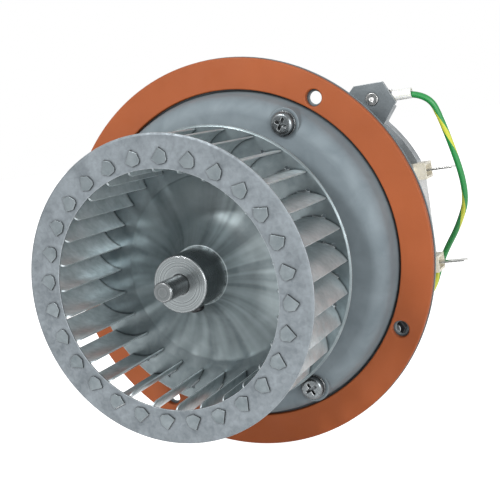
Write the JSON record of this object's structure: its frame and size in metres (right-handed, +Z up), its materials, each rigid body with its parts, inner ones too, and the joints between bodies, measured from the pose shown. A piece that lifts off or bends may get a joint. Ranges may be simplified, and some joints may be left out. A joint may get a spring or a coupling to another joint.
{
  "type": "draft inducer",
  "caption": "Flange-mounted flue draft inducer: a forward-curved sheet-metal wheel in front of a gasketed round plate, turned by a shaded-pole motor on standoffs behind.",
  "frame": {"origin": "on the shaft's axis, in the sealing face of the gasket", "axes": "+Y along the shaft from the wheel to the motor, so the wheel and the flue are on the -Y side; +Z up, as the picture stands turned by 10 degrees about the shaft; +X to the coil's side"},
  "size_m": [0.1808, 0.1696, 0.174],
  "materials": {
    "galvanised_plate": "satin zinc-coated steel",
    "galvanised_sheet": "satin zinc-coated steel",
    "silicone_rubber": "matt red-brown silicone",
    "zinc_steel": "bright zinc plate",
    "graphite_felt": "matt graphite felt",
    "ground_steel": "ground",
    "wheel_sheet": "aluminised sheet, satin",
    "blade_sheet": "aluminised sheet, satin",
    "turned_steel": "fine turned",
    "black_steel": "black oxide",
    "fan_sheet": "satin",
    "turned_aluminium": "fine turned",
    "bracket_sheet": "zinc-coated steel, dulled",
    "shield_sheet": "zinc-coated steel, dulled",
    "bronze": "oil-filled sintered bronze",
    "oiled_felt": "oiled felt",
    "spring_steel": "satin",
    "lamination_steel": "varnished laminations",
    "copper": "bare copper",
    "bobbin_moulding": "moulded, cream",
    "winding_tape": "tape wrapped",
    "tinned_brass": "tin plate",
    "rotor_steel": "ground laminations",
    "cast_aluminium": "cast",
    "washer_plastic": "moulded",
    "bright_eyelet": "nickel plate",
    "sleeve_plastic": "translucent white",
    "black_nut": "black oxide",
    "wire_insulation": "green with a yellow stripe"
  },
  "bodies": {
    "frame": {"mounting_plate": "galvanised_plate", "gasket": "silicone_rubber", "screw_washers": "zinc_steel", "plate_screws": "zinc_steel", "standoffs": "zinc_steel", "shaft_seal": "graphite_felt", "seal_cup": "galvanised_sheet", "front_bracket": "bracket_sheet", "bracket_screws": "zinc_steel", "rear_shield": "shield_sheet", "front_bearing": "bronze", "rear_bearing": "bronze", "front_felt": "oiled_felt", "rear_felt": "oiled_felt", "front_bearing_cap": "spring_steel", "rear_bearing_cap": "spring_steel", "stator_yoke": "lamination_steel", "core_bar": "lamination_steel", "shading_rings": "copper", "bobbin": "bobbin_moulding", "winding": "winding_tape", "coil_terminals": "tinned_brass", "motor_bolts": "zinc_steel", "motor_nuts": "zinc_steel", "stack_spacers": "zinc_steel", "earth_tab": "tinned_brass", "earth_rivet": "bright_eyelet", "earth_receptacle": "tinned_brass", "earth_sleeve": "sleeve_plastic", "ring_terminal": "tinned_brass", "earth_screw": "zinc_steel", "earth_nut": "black_nut", "earth_wire": "wire_insulation"},
    "rotor": {"shaft": "ground_steel", "rotor_core": "rotor_steel", "rotor_end_rings": "cast_aluminium", "thrust_washers": "washer_plastic", "rotor_collars": "turned_steel", "cooling_fan": "fan_sheet", "cooling_fan_hub": "turned_aluminium", "wheel_hub": "turned_steel", "set_screw": "black_steel", "wheel_back_plate": "wheel_sheet", "wheel_blades": "blade_sheet", "wheel_front_ring": "wheel_sheet"}
  },
  "joints": [
    {"name": "wheel_spin", "type": "hinge", "parent": "frame", "child": "rotor", "pos_m": [0, 0, 0], "axis": [0, 1, 0], "continuous": true}
  ]
}
